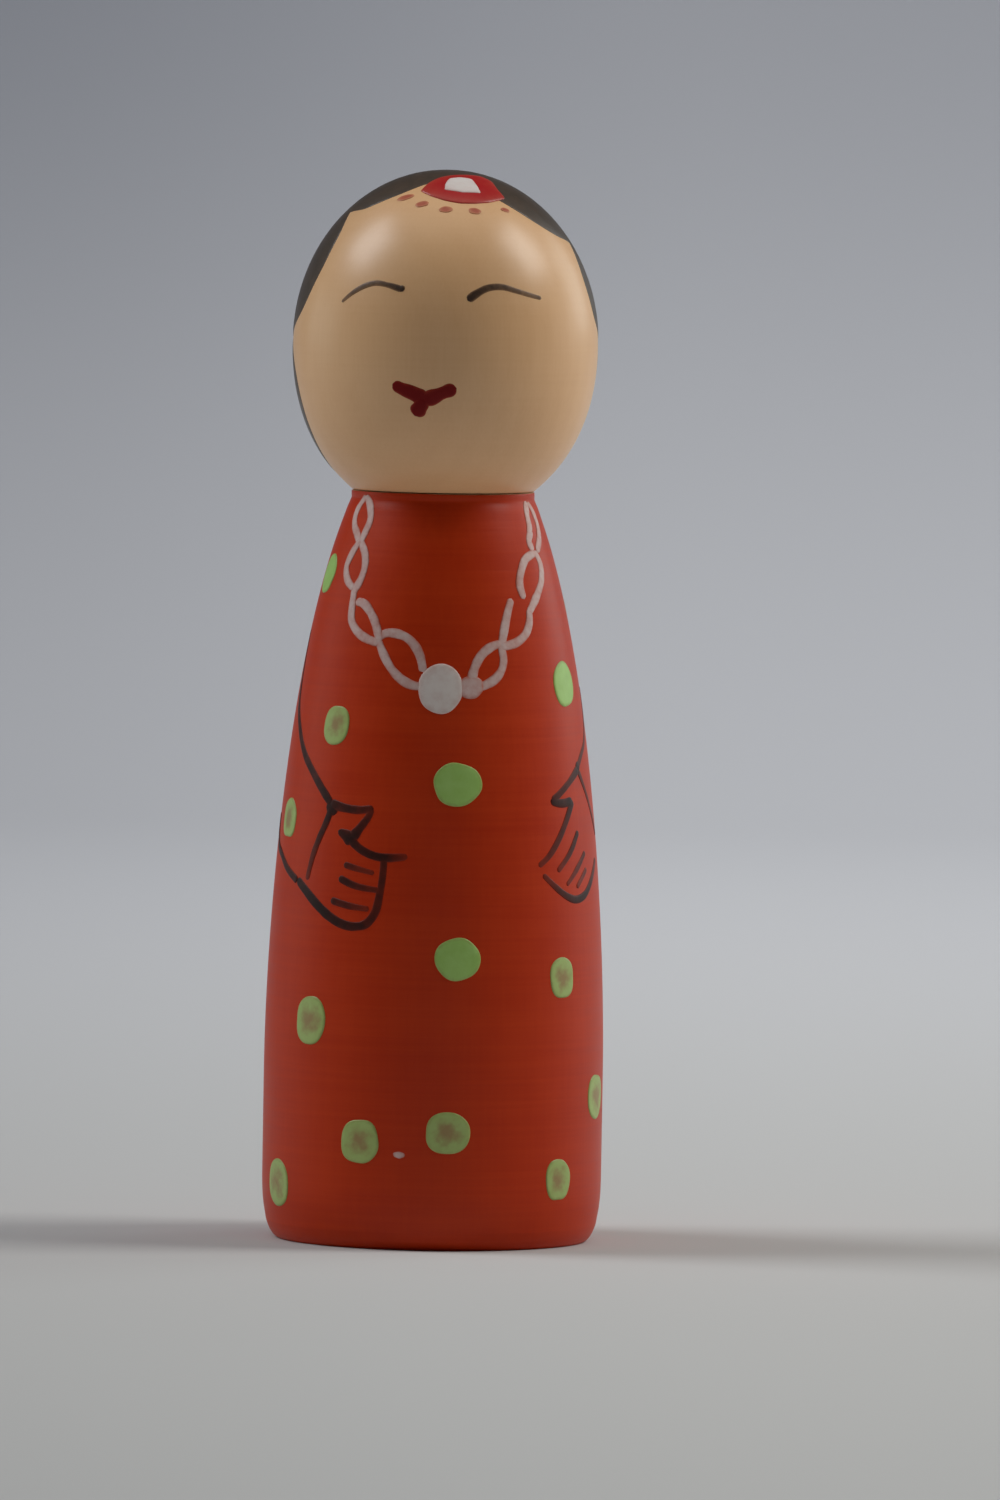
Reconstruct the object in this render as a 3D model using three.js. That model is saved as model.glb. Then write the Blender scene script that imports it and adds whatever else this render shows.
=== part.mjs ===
// Kokeshi doll: a painted doll of turned wood. A slender body flares from the neck to a rounded foot, and a
// nearly round head sits on it. A turned peg is glued in the head, and the ring on the peg's lower end is held
// in a groove inside the body's socket, so the head turns about the doll's axis and doesn't lift off.
// Millimetres, +Z up. The origin is the centre of the flat underside, and the face looks along -Y.
import * as THREE from "three";

// Body
const footRadius = 14.3;
const footRoundHeight = 4.5;
const footRoundInset = 1.5;
const straightSideTop = 14.4;
const neckRadius = 7.65;
const neckHeight = 63.35;
const neckLipHeight = 0.6;

// How hard the flank leaves each of its ends, as the curve's handles: down and out from the neck's lip, and
// straight up from the top of the straight side.
const neckHandleDrop = 11.7;
const neckHandleOut = 5;
const sideHandleRise = 12.5;

// Head
const headRadius = 12.9;
const chinFlatRadius = 7.7;
const crownRise = 14.7;
const crownFullness = 2.02;
const chinCurveDrop = 14.83;
const chinFullness = 2.16;

// Neck joint
const pegRadius = 3.5;
const pegInHead = 8;
const pegInBody = 9;
const pegEndChamfer = 0.4;
const ringStandsOut = 0.4;
const ringRise = 0.5;
const ringLand = 1;
const ringFromPegEnd = 3.2;

// Clearances
const neckSeam = 0.1;
const glueGap = 0.05;
const runningClearance = 0.1;
const boreEndGap = 0.4;

// Facets round the axis and along each curved stretch
const bodySides = 60;
const headSides = 60;
const pegSides = 48;
const flankSteps = 22;
const footRoundSteps = 7;
const headCurveSteps = 13;

// Heights that follow from the sizes above
const lipBottom = neckHeight - neckLipHeight;
const chinHeight = neckHeight + neckSeam;
const chinShare = (1 - (chinFlatRadius / headRadius) ** chinFullness) ** (1 / chinFullness);
const headEquatorHeight = chinHeight + chinCurveDrop * chinShare;
const pegBottom = neckHeight - pegInBody;
const pegTop = chinHeight + pegInHead;
const ringBottom = pegBottom + ringFromPegEnd;
const ringTop = ringBottom + 2 * ringRise + ringLand;

const point = (radius, height) => new THREE.Vector2(radius, height);

// A quarter of a superellipse about (0, centreHeight), from turn `from` to turn `to`, both in radians above
// the equator: radius and rise each follow their own end size to the power 2 / fullness.
function headCurve(rise, fullness, from, to) {
  return Array.from({ length: headCurveSteps + 1 }, (_, step) => {
    const turn = from + ((to - from) * step) / headCurveSteps;
    const across = headRadius * Math.cos(turn) ** (2 / fullness);
    const up = rise * Math.sin(Math.abs(turn)) ** (2 / fullness);
    return point(across, headEquatorHeight + Math.sign(turn) * up);
  });
}

// A profile turned about the doll's axis. It starts and ends on the axis, and its points run so that the wood
// is on their left.
function turned(name, profile, sides, finish) {
  const geometry = new THREE.LatheGeometry(profile, sides);
  geometry.rotateX(Math.PI / 2);
  const mesh = new THREE.Mesh(geometry, new THREE.MeshStandardMaterial(finish));
  mesh.name = name;
  return mesh;
}

// The body's outline: flat underside, rounded foot edge, straight side, flank, the neck's upright lip, then the
// socket with its groove down to the blind end.
function bodyProfile() {
  const footRound = new THREE.EllipseCurve(
    footRadius - footRoundInset,
    footRoundHeight,
    footRoundInset,
    footRoundHeight,
    -Math.PI / 2,
    0,
  );
  const flank = new THREE.CubicBezierCurve(
    point(footRadius, straightSideTop),
    point(footRadius, straightSideTop + sideHandleRise),
    point(neckRadius + neckHandleOut, lipBottom - neckHandleDrop),
    point(neckRadius, lipBottom),
  );
  const mouthRadius = pegRadius + runningClearance;
  const grooveRadius = mouthRadius + ringStandsOut;
  return [
    point(0, 0),
    ...footRound.getPoints(footRoundSteps),
    ...flank.getPoints(flankSteps),
    point(neckRadius, neckHeight),
    point(mouthRadius, neckHeight),
    point(mouthRadius, ringTop + runningClearance),
    point(grooveRadius, ringTop + runningClearance - ringRise),
    point(grooveRadius, ringBottom - runningClearance + ringRise),
    point(mouthRadius, ringBottom - runningClearance),
    point(mouthRadius, pegBottom - boreEndGap),
    point(0, pegBottom - boreEndGap),
  ];
}

// The head's outline: the bore's blind end and wall, the flat under the chin, then the outside up to the crown.
function headProfile() {
  const boreRadius = pegRadius + glueGap;
  const chinTurn = Math.asin(chinShare ** (chinFullness / 2));
  return [
    point(0, pegTop + boreEndGap),
    point(boreRadius, pegTop + boreEndGap),
    point(boreRadius, chinHeight),
    ...headCurve(chinCurveDrop, chinFullness, -chinTurn, 0),
    ...headCurve(crownRise, crownFullness, 0, Math.PI / 2).slice(1, -1),
    point(0, headEquatorHeight + crownRise),
  ];
}

// The peg's outline: chamfered lower end, plain shank, the ring that stands out of it, and the plain upper
// shank that is glued in the head.
function pegProfile() {
  const ringRadius = pegRadius + ringStandsOut;
  return [
    point(0, pegBottom),
    point(pegRadius - pegEndChamfer, pegBottom),
    point(pegRadius, pegBottom + pegEndChamfer),
    point(pegRadius, ringBottom),
    point(ringRadius, ringBottom + ringRise),
    point(ringRadius, ringTop - ringRise),
    point(pegRadius, ringTop),
    point(pegRadius, pegTop - pegEndChamfer),
    point(pegRadius - pegEndChamfer, pegTop),
    point(0, pegTop),
  ];
}

const dressPaint = { color: 0xb5401f, roughness: 0.4, metalness: 0 };
const facePaint = { color: 0xc9a06f, roughness: 0.4, metalness: 0 };
const bareWood = { color: 0xd8b98a, roughness: 0.75, metalness: 0 };

const doll = new THREE.Group();
doll.add(turned("body", bodyProfile(), bodySides, dressPaint));
doll.add(turned("head", headProfile(), headSides, facePaint));
doll.add(turned("neck_peg", pegProfile(), pegSides, bareWood));

export default doll;
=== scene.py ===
import math

import bpy
import numpy as np
from mathutils import Matrix, Vector


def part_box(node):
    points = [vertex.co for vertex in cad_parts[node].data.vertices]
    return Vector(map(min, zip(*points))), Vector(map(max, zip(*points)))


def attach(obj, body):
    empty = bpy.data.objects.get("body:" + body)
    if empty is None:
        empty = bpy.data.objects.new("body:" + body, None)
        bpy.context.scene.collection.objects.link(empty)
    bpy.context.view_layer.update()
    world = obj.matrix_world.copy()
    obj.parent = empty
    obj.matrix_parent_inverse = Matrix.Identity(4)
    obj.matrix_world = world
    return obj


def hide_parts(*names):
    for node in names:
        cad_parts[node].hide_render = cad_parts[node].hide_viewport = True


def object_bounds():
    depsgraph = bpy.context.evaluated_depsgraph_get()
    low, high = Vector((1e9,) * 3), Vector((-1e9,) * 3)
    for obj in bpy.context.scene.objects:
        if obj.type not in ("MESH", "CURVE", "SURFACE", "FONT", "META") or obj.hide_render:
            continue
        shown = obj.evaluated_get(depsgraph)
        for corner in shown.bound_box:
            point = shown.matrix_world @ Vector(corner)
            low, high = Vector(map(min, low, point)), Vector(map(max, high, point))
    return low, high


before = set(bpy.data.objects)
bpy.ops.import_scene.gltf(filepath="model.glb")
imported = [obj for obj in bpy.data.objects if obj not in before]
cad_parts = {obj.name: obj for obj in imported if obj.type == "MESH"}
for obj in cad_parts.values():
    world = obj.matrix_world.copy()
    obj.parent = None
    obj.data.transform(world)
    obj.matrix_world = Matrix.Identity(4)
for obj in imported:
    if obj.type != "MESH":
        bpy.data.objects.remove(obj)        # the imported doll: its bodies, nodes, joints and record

MM = 0.001
cad_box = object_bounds()
doll_height = cad_box[1].z - cad_box[0].z

# ---- Turned outlines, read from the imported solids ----
BORE_SLACK = 0.5        # mm above and below the peg that still count as its bore
BORE_WIDEST = 1.3       # of the peg's radius; a wider ring is on the outside
RING_MERGE = 0.02       # mm within which two rings are one
OUTLINE_STEP = 0.05     # mm between points of a worked outline
SANDING = 0.12          # mm over which sandpaper has softened the edges
FAIRING = 1.0           # mm over which it has faired the curves between them
TURN_OF_EDGE = 7.0      # degrees in a mm
SURE_EDGE = 5.0         # degrees in a mm beyond that, from which a place is wholly an edge
EDGE_REACH = 0.5        # mm to each side over which the turn is taken and the edge fades out
CORNER = 12.0           # degrees at one ring
TURN_WORTH = 12.0       # mm of length that a radian of turning counts for when a line is divided up
DRESS_COAT = 0.06       # mm of dress paint on the body


def rings(node):
    """Radius and height in mm of every ring of a turned CAD solid, as the outside and the bore."""
    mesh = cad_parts[node].data
    flat = np.empty(3 * len(mesh.vertices))
    mesh.vertices.foreach_get("co", flat)
    x, y, z = flat.reshape(-1, 3).T / MM
    pairs = np.unique(np.round(np.c_[z, np.hypot(x, y)], 3), axis=0)
    peg_low, peg_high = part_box("neck_peg")
    beside_peg = (pairs[:, 0] > peg_low.z / MM - BORE_SLACK) & (pairs[:, 0] < peg_high.z / MM + BORE_SLACK)
    narrow = pairs[:, 1] < BORE_WIDEST * peg_high.x / MM
    bore = pairs[beside_peg & narrow]
    outside = pairs[~(beside_peg & narrow)]
    return thinned(outside), thinned(bore)


def thinned(pairs):
    """The (height, radius) pairs as (radius, height), without those that repeat the one before."""
    apart = np.r_[True, np.hypot(*np.diff(pairs, axis=0).T) > RING_MERGE]
    return pairs[apart][:, ::-1]


def through(points, step):
    """A smooth line through the points, made in stretches that meet at the real corners. A corner is a point
    where the line turns by more than CORNER degrees and twice as sharply as at the points beside it."""
    heading = np.unwrap(np.arctan2(*np.diff(points, axis=0).T))
    turn = np.r_[0, np.degrees(np.abs(np.diff(heading))), 0]
    alone = turn[1:-1] > turn[:-2] + turn[2:]
    corners = np.flatnonzero(alone & (turn[1:-1] > CORNER)) + 1
    ends = np.r_[0, corners, len(points) - 1]
    stretches = [smooth_stretch(points[a : b + 1], step) for a, b in zip(ends[:-1], ends[1:])]
    return np.concatenate([stretch[:-1] for stretch in stretches] + [points[-1:]])


def smooth_stretch(points, step):
    """A line through the points, a step apart: each coordinate is a monotone cubic of the length so far, so a
    straight stretch stays straight and nothing swings past a point."""
    length = np.r_[0, np.cumsum(np.linalg.norm(np.diff(points, axis=0), axis=1))]
    at = np.linspace(0, length[-1], int(length[-1] / step) + 2)
    span = np.diff(length)[:, None]
    slope = np.diff(points, axis=0) / span
    before, after = slope[:-1], slope[1:]
    weight_before, weight_after = span[:-1] + 2 * span[1:], 2 * span[:-1] + span[1:]
    same_way = before * after > 0
    safe_before, safe_after = np.where(same_way, before, 1), np.where(same_way, after, 1)
    blend = (weight_before + weight_after) / (weight_before / safe_after + weight_after / safe_before)
    tangent = np.r_[slope[:1], np.where(same_way, blend, 0), slope[-1:]]
    span_of = np.clip(np.searchsorted(length, at, side="right") - 1, 0, len(span) - 1)
    t = ((at - length[span_of]) / span[span_of, 0])[:, None]
    start, end = points[span_of], points[span_of + 1]
    pull = span[span_of] * tangent[span_of]
    push = span[span_of] * tangent[span_of + 1]
    return (
        (1 + 2 * t) * (1 - t) ** 2 * start
        + t * (1 - t) ** 2 * pull
        + t**2 * (3 - 2 * t) * end
        + t**2 * (t - 1) * push
    )


def blurred(line, reach):
    """The line with each point the bell-weighted mean of its neighbours within about this reach in mm.
    Past an end on the axis the line goes on as its mirror image; past any other end it goes on turned half
    round."""
    half = int(3 * reach / OUTLINE_STEP)
    bell = np.exp(-0.5 * (np.arange(-half, half + 1) * OUTLINE_STEP / reach) ** 2)
    bell /= bell.sum()
    beyond = []
    for end, near in ((line[0], line[half:0:-1]), (line[-1], line[-2 : -half - 2 : -1])):
        on_axis = end[0] < RING_MERGE
        beyond.append(near * (-1, 1) if on_axis else 2 * end - near)
    longer = np.r_[beyond[0], line, beyond[1]]
    return np.c_[np.convolve(longer[:, 0], bell, "valid"), np.convolve(longer[:, 1], bell, "valid")]


def sanded(line):
    """The line as sandpaper leaves it: fair all along, with its edges softened only a little. Where it turns
    by more than TURN_OF_EDGE degrees in a mm it counts as an edge."""
    crisp, fair = blurred(line, SANDING), blurred(line, FAIRING)
    reach = int(EDGE_REACH / OUTLINE_STEP)
    heading = np.unwrap(np.arctan2(*np.gradient(crisp, axis=0).T))
    turn = np.zeros(len(line))
    turn[reach:-reach] = np.degrees(np.abs(heading[2 * reach :] - heading[: -2 * reach]))
    edge = np.clip((turn - TURN_OF_EDGE) / SURE_EDGE, 0, 1)
    share = np.clip(2 * blurred(np.c_[edge + RING_MERGE, edge], EDGE_REACH)[:, 1:], 0, 1)
    return fair + share * (crisp - fair)


def divided(line, count):
    """How far along the line, in mm, to put this many points: closer together where the line turns."""
    steps = np.diff(line, axis=0)
    length = np.linalg.norm(steps, axis=1)
    turning = np.abs(np.diff(np.unwrap(np.arctan2(*steps.T)), prepend=0))
    turning[0] = 0
    effort = np.r_[0, np.cumsum(length + TURN_WORTH * turning)]
    return np.interp(np.linspace(0, effort[-1], count), effort, np.r_[0, np.cumsum(length)])


def at_lengths(line, along):
    """The line's points and outward directions at these lengths along it."""
    run = np.r_[0, np.cumsum(np.linalg.norm(np.diff(line, axis=0), axis=1))]
    onward = np.gradient(line, axis=0)
    onward /= np.linalg.norm(onward, axis=1)[:, None]
    values = np.c_[line, onward[:, 1], -onward[:, 0]].T
    return (np.interp(along, run, value) for value in values)


class Skin:
    """The outside of a turned piece, with its coat of paint if it has one. A place on it is an angle round
    the axis and a level, which is the height, or for the round head the angle up from straight down, seen
    from the middle of the ball."""

    def __init__(self, line, coat=0.0, centre=None):
        self.line = line
        self.coat = coat
        self.centre = centre
        run = np.gradient(line, axis=0)
        run /= np.linalg.norm(run, axis=1)[:, None]
        self.normal = np.c_[run[:, 1], -run[:, 0]]
        self.levels = self.level_of(line[:, 0], line[:, 1])

    def level_of(self, radius, height):
        if self.centre is None:
            return height
        return np.arctan2(radius, self.centre - height)

    def on(self, angle, level, proud):
        """Points in metres at these angles and levels, standing proud of the coat by so many mm."""
        proud = proud + self.coat
        radius, height = (np.interp(level, self.levels, self.line[:, i]) for i in (0, 1))
        out, up = (np.interp(level, self.levels, self.normal[:, i]) for i in (0, 1))
        far = radius + proud * out
        return np.stack([far * np.sin(angle), -far * np.cos(angle), height + proud * up], axis=-1) * MM

    def settle(self, points, proud):
        """The points, in metres, moved onto the outside and then proud of it by so many mm."""
        x, y, z = np.moveaxis(points, -1, 0) / MM
        level = self.level_of(np.hypot(x, y), z)
        return self.on(np.arctan2(x, -y), level, proud)

    def marked(self, degrees, height):
        """Points in metres at marks given as degrees round the doll and height in mm."""
        height = np.asarray(height, float)
        radius = np.interp(height, self.line[:, 1], self.line[:, 0])
        return self.on(np.radians(degrees), self.level_of(radius, height), 0)

    def facing(self, points):
        """The outward directions of the wood at points on it."""
        return (self.settle(points, 1) - self.settle(points, 0)) / MM


body_outside, body_bore = rings("body")
head_outside, head_bore = rings("head")
head_middle = head_outside[np.argmax(head_outside[:, 0]), 1]
body_line = sanded(through(body_outside, OUTLINE_STEP))
head_line = sanded(through(head_outside, OUTLINE_STEP))
body_skin = Skin(body_line[body_line[:, 1] > RING_MERGE], coat=DRESS_COAT)
head_skin = Skin(head_line, centre=head_middle)

# ---- Closed surfaces ----


def shell(rows, values, poles=True):
    """One closed surface from rows of points, each row a ring. Neighbouring rows are joined by four-sided
    faces. With poles, the first and the last row are each drawn together in one point; without, the last
    row joins the first. values holds the rim and the load of paint at each point: rim is 0 in the middle
    of a mark and 1 at its edge. Faces are turned outwards by the sign of the volume."""
    count, around = rows.shape[:2]
    index = np.arange(count * around).reshape(count, around)
    following = np.roll(index, -1, axis=1)
    if poles:
        points = np.r_[rows.reshape(-1, 3), [rows[0].mean(0)], [rows[-1].mean(0)]]
        values = np.r_[values.reshape(-1, 2), [values[0].mean(0)], [values[-1].mean(0)]]
        quads = np.stack([index[:-1], following[:-1], following[1:], index[1:]], -1).reshape(-1, 4)
        first, last = np.full(around, count * around), np.full(around, count * around + 1)
        ends = np.r_[np.c_[first, following[0], index[0]], np.c_[last, index[-1], following[-1]]]
    else:
        points, values = rows.reshape(-1, 3), values.reshape(-1, 2)
        beyond, beyond_next = np.roll(index, -1, axis=0), np.roll(following, -1, axis=0)
        quads = np.stack([index, following, beyond_next, beyond], -1).reshape(-1, 4)
        ends = np.empty((0, 3), int)
    a, b, c, d = (points[quads[:, i]] for i in range(4))
    volume = np.einsum("ij,ij->", a, np.cross(b, c)) + np.einsum("ij,ij->", a, np.cross(c, d))
    if volume < 0:
        quads, ends = quads[:, ::-1], ends[:, ::-1]
    return points, values, quads, ends


def rim_and_load(rim, load, shape):
    """The pair of values for every point of rows of this shape."""
    return np.stack(np.broadcast_arrays(rim, load, np.zeros(shape))[:2], -1)


def piece(name, shells, finish, body):
    """One object from closed surfaces, riding on a body and taking its finish from a material slot."""
    points, values, faces, so_far = [], [], [], 0
    for some_points, some_values, quads, ends in shells:
        points.append(some_points)
        values.append(some_values)
        faces += (quads + so_far).tolist() + (ends + so_far).tolist()
        so_far += len(some_points)
    mesh = bpy.data.meshes.new(name)
    mesh.from_pydata(np.concatenate(points).tolist(), [], faces)
    mesh.polygons.foreach_set("use_smooth", np.ones(len(faces), bool))
    for layer, numbers in zip(("rim", "load"), np.concatenate(values).T):
        data = mesh.attributes.new(layer, "FLOAT", "POINT").data
        data.foreach_set("value", numbers.astype(np.float32))
    mesh.materials.append(finish)
    mesh.update()
    made = bpy.data.objects.new(name, mesh)
    bpy.context.scene.collection.objects.link(made)
    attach(made, body)
    return made


def turned_solid(line, sides):
    """A line of (radius, height) in mm, from the axis to the axis, turned about the axis of the doll."""
    angle = np.linspace(0, 2 * math.pi, sides, endpoint=False)
    radius, height = line[1:-1, :1], line[1:-1, 1:]
    rows = np.stack([radius * np.sin(angle), -radius * np.cos(angle), height + 0 * angle], -1) * MM
    return shell(rows, rim_and_load(0, 1, rows.shape[:2]))


# ---- Paint films ----
BURIED = 0.03           # mm that a film's underside lies below what it is painted on
BRUSH_STEPS = 24        # steps of the brush's curve between two marks
STROKE_STEP = 0.12      # mm between the sections of a stroke
STROKE_SIDES = 20       # round a stroke's section
TREMBLE = 0.7           # mm over which a stroke's width changes by chance
chance = np.random.default_rng(7)


def unsteady(length, pace, amount):
    """Values that waver as a hand does: chance numbers at every pace, joined smoothly over the lengths."""
    knots = chance.normal(0, amount, int(length[-1] / pace) + 4)
    at = length / pace
    low = at.astype(int)
    t = at - low
    ease = t * t * (3 - 2 * t)
    return knots[low] * (1 - ease) + knots[low + 1] * ease


def waver_round(angle, amount, waves=5):
    """A closed waver round a spot: a few sine waves of chance size and phase."""
    total = np.zeros_like(angle)
    for wave in range(2, 2 + waves):
        total += chance.normal(0, amount / wave) * np.sin(wave * angle + chance.uniform(0, 2 * math.pi))
    return total


def along_brush(points, step):
    """A flowing line through points: a centripetal Catmull-Rom curve, then points a step apart on it."""
    padded = np.r_[[2 * points[0] - points[1]], points, [2 * points[-1] - points[-2]]]
    gaps = np.sqrt(np.linalg.norm(np.diff(padded, axis=0), axis=1))
    knots = np.r_[0, np.cumsum(gaps)]
    fine = []
    for i in range(1, len(padded) - 2):
        k0, k1, k2, k3 = knots[i - 1 : i + 3]
        p0, p1, p2, p3 = padded[i - 1 : i + 3]
        t = np.linspace(k1, k2, BRUSH_STEPS, endpoint=False)[:, None]
        a1 = ((k1 - t) * p0 + (t - k0) * p1) / (k1 - k0)
        a2 = ((k2 - t) * p1 + (t - k1) * p2) / (k2 - k1)
        a3 = ((k3 - t) * p2 + (t - k2) * p3) / (k3 - k2)
        b1 = ((k2 - t) * a1 + (t - k0) * a2) / (k2 - k0)
        b2 = ((k3 - t) * a2 + (t - k1) * a3) / (k3 - k1)
        fine.append(((k2 - t) * b1 + (t - k1) * b2) / (k2 - k1))
    fine = np.concatenate(fine + [points[-1:]])
    length = np.r_[0, np.cumsum(np.linalg.norm(np.diff(fine, axis=0), axis=1))]
    at = np.linspace(0, length[-1], max(int(length[-1] / step), 8))
    return np.stack([np.interp(at, length, fine[:, i]) for i in range(3)], -1), at


def stroke(skin, marks, widths, thick=0.07, waver=0.04, loads=(1, 1)):
    """A brush or pen stroke on the doll. Its middle flows through the marks; widths in mm, and loads of
    paint, are spread evenly over its length. Its section is a low dome, and its ends are round: near an end
    the half-width follows the quarter circle."""
    degrees, heights = np.array(marks, float).T
    line, length = along_brush(skin.marked(degrees, heights), STROKE_STEP * MM)
    line, length = skin.settle(line, 0), length / MM
    half = np.interp(length, np.linspace(0, length[-1], len(widths)), widths) / 2
    half *= 1 + unsteady(length, TREMBLE, waver)
    reach = np.minimum(length, length[-1] - length)
    half *= np.sqrt(np.clip(1 - np.clip(1 - reach / half, 0, 1) ** 2, 0.004, 1))
    facing = skin.facing(line)
    onward = np.gradient(line, axis=0)
    side = np.cross(facing, onward)
    side /= np.linalg.norm(side, axis=1)[:, None]
    turn = np.linspace(0, 2 * math.pi, STROKE_SIDES, endpoint=False)
    across, lift = np.cos(turn), np.sin(turn)
    low_near_ends = np.clip(half / half.max(), 0.2, 1)[:, None]
    proud = np.where(lift > 0, thick * np.clip(lift, 0, 1) ** 0.6 * low_near_ends, -BURIED)
    wide = line[:, None] + side[:, None] * (half[:, None] * across)[..., None] * MM
    rows = skin.settle(wide, proud)
    load = np.interp(length, np.linspace(0, length[-1], len(loads)), loads)[:, None]
    return shell(rows, rim_and_load(np.abs(across), load, rows.shape[:2]))


def blob(skin, middle, outline, thick=0.07, ridge=0.3):
    """A patch of paint round a point. outline holds its edge as (across, up) in mm, all the way round. Each
    ring is the outline drawn in by a share; the film swells to a slight ridge before it rounds off at its
    edge."""
    facing = skin.facing(middle[None])[0]
    across = np.cross((0, 0, 1), facing)
    across /= np.linalg.norm(across)
    up = np.cross(facing, across)
    share = np.r_[0.03, np.linspace(0.1, 0.8, 8), 0.86, 0.91, 0.95, 0.98, 1.0, 1.0, 0.9, 0.5, 0.03]
    top = len(share) - 4
    profile = np.clip((1 - share[:top] ** 10), 0, 1) ** 0.5 * (1 + ridge * share[:top] ** 4)
    proud = np.r_[thick * profile, np.full(4, -BURIED)]
    places = middle + (outline[:, :1] * across + outline[:, 1:] * up) * MM
    rows = middle + share[:, None, None] * (places - middle)[None]
    rows = skin.settle(rows, proud[:, None])
    return shell(rows, rim_and_load(share[:, None], 1, rows.shape[:2]))


def oval(wide, high, waver=0.05, tilt=0.0, square=2.0, points=72):
    """The edge of a dabbed spot: an ellipse whose radius wavers a little, tilted in degrees. With square
    above 2 it is fuller at its corners: its two distances, each to that power, add up to 1."""
    angle = np.linspace(0, 2 * math.pi, points, endpoint=False)
    size = (np.abs(np.cos(angle)) ** square + np.abs(np.sin(angle)) ** square) ** (-1 / square)
    size *= 1 + waver_round(angle, waver)
    x, y = wide / 2 * size * np.cos(angle), high / 2 * size * np.sin(angle)
    lean = math.radians(tilt)
    return np.c_[x * math.cos(lean) - y * math.sin(lean), x * math.sin(lean) + y * math.cos(lean)]


def closed_line(corners, smooth, points=120):
    """The edge of a shaped patch: straight sides between the corners, then rounded by a bell-weighted mean
    over a share of the way round."""
    corners = np.array(corners, float)
    ends = np.r_[corners, corners[:1]]
    length = np.r_[0, np.cumsum(np.linalg.norm(np.diff(ends, axis=0), axis=1))]
    at = np.linspace(0, length[-1], points, endpoint=False)
    edge = np.c_[np.interp(at, length, ends[:, 0]), np.interp(at, length, ends[:, 1])]
    away = (np.arange(points) + points // 2) % points - points // 2
    bell = np.exp(-0.5 * (away / (smooth * points)) ** 2)
    spread = np.fft.fft(bell / bell.sum())
    return np.real(np.fft.ifft(np.fft.fft(edge, axis=0) * spread[:, None], axis=0))


# ---- Finishes ----


class Value:
    """A number that varies over a surface: a shader socket that takes part in sums like a plain number."""

    def __init__(self, finish, socket):
        self.finish, self.socket = finish, socket

    def maths(self, operation, *values):
        values = {i: value for i, value in enumerate(values)}
        return self.finish.node("Math", {"operation": operation}, values)

    def __add__(self, other):
        return self.maths("ADD", self, other)

    def __sub__(self, other):
        return self.maths("SUBTRACT", self, other)

    def __rsub__(self, other):
        return self.maths("SUBTRACT", other, self)

    def __mul__(self, other):
        return self.maths("MULTIPLY", self, other)

    def __pow__(self, other):
        return self.maths("POWER", self, other)

    __radd__, __rmul__ = __add__, __mul__

    def ramp(self, low, high, from_value=0, to_value=1):
        """Goes smoothly from one value to the other as this goes from low to high."""
        ends = {0: self, 1: low, 2: high, 3: from_value, 4: to_value}
        return self.finish.node("MapRange", {"interpolation_type": "SMOOTHSTEP"}, ends)


def colour(red, green, blue):
    """A paint's colour from its screen values of 0 to 255, as the light it sends back."""
    screen = np.array((red, green, blue)) / 255
    linear = np.where(screen <= 0.04045, screen / 12.92, ((screen + 0.055) / 1.055) ** 2.4)
    return (*linear.tolist(), 1)


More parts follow.
